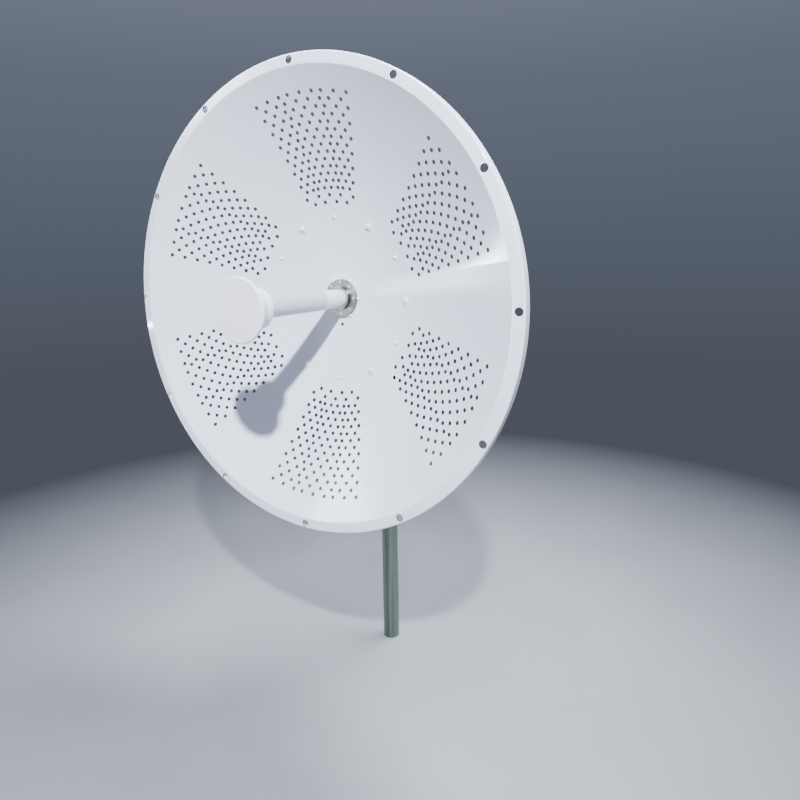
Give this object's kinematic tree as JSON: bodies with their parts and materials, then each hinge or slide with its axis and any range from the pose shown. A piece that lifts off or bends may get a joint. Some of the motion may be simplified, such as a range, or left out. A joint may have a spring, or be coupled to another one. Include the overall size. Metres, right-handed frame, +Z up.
{
  "type": "parabolic dish antenna",
  "caption": "Perforated parabolic dish antenna with a central splash-plate feed, tilting and turning on clamps round a steel mast.",
  "frame": {"origin": "centre of the mast's lower end", "axes": "+Z up along the mast, -Y the way the dish faces, +X to the right seen from the front"},
  "size_m": [0.9, 0.5183, 1.3],
  "materials": {
    "painted_sheet": "satin white powder coat on spun aluminium",
    "painted_tube": "satin white paint",
    "white_plastic": "satin white moulded plastic",
    "bare_aluminium": "turned aluminium",
    "housing_aluminium": "milled aluminium",
    "polished_steel": "polished stainless tube",
    "black_plastic": "moulded black plastic",
    "galvanised_steel": "hot-dip galvanised plate",
    "rubber_seal": "silicone seal",
    "dielectric": "natural fluoropolymer",
    "plated_connector": "nickel plate",
    "brass_pin": "gold-flashed brass",
    "stainless_fastener": "stainless A2"
  },
  "bodies": {
    "mast": {"mast_tube": "polished_steel", "mast_cap": "black_plastic", "mast_foot_plug": "black_plastic"},
    "stop_collar": {"stop_collar": "galvanised_steel", "collar_bolt": "stainless_fastener", "collar_nut": "stainless_fastener"},
    "mast_bracket": {"mast_bracket": "galvanised_steel", "front_jaws": "bare_aluminium", "rear_jaws": "bare_aluminium", "clamp_bolts": "stainless_fastener", "clamp_washers": "stainless_fastener", "clamp_nuts": "stainless_fastener", "pivot_bolts": "stainless_fastener", "pivot_washers": "stainless_fastener", "pivot_nuts": "stainless_fastener", "lock_bolts": "stainless_fastener", "lock_washers": "stainless_fastener", "lock_nuts": "stainless_fastener"},
    "dish": {"reflector": "painted_sheet", "hub_flange": "bare_aluminium", "hub_face_screws": "stainless_fastener", "hub_set_screws": "stainless_fastener", "hub_plate_screws": "stainless_fastener", "hub_plate_nuts": "stainless_fastener", "hub_plate": "bare_aluminium", "back_ring": "galvanised_steel", "back_plate": "galvanised_steel", "dish_bolts": "stainless_fastener", "dish_washers": "stainless_fastener", "dish_nuts": "stainless_fastener", "dish_rivets": "stainless_fastener", "ring_bolts": "stainless_fastener", "ring_nuts": "stainless_fastener", "cheek_bolts": "stainless_fastener", "cheek_nuts": "stainless_fastener", "tilt_cheek_right": "galvanised_steel", "tilt_cheek_left": "galvanised_steel"},
    "feed": {"feed_tube": "painted_tube", "feed_sleeve": "white_plastic", "feed_cup": "white_plastic", "feed_lid": "white_plastic", "lid_gasket": "rubber_seal", "sub_reflector": "bare_aluminium", "dielectric_cone": "dielectric", "feed_housing": "housing_aluminium", "housing_cap": "housing_aluminium", "housing_screws": "stainless_fastener", "n_connectors": "plated_connector", "connector_insulators": "dielectric", "probe_pins": "brass_pin", "connector_screws": "stainless_fastener"}
  },
  "joints": [
    {"name": "mast_height", "type": "slide", "parent": "mast", "child": "stop_collar", "axis": [0, 0, 1], "range_m": [-0.3, 0.03]},
    {"name": "azimuth", "type": "hinge", "parent": "stop_collar", "child": "mast_bracket", "pos_m": [0, 0, 0.85], "axis": [0, 0, 1], "continuous": true},
    {"name": "elevation", "type": "hinge", "parent": "mast_bracket", "child": "dish", "pos_m": [0, -0.062, 0.815], "axis": [-1, 0, 0], "range_deg": [-15, 30]},
    {"name": "feed_polarisation", "type": "hinge", "parent": "dish", "child": "feed", "pos_m": [0, -0.17, 0.85], "axis": [0, -1, 0], "range_deg": [-45, 45]}
  ]
}
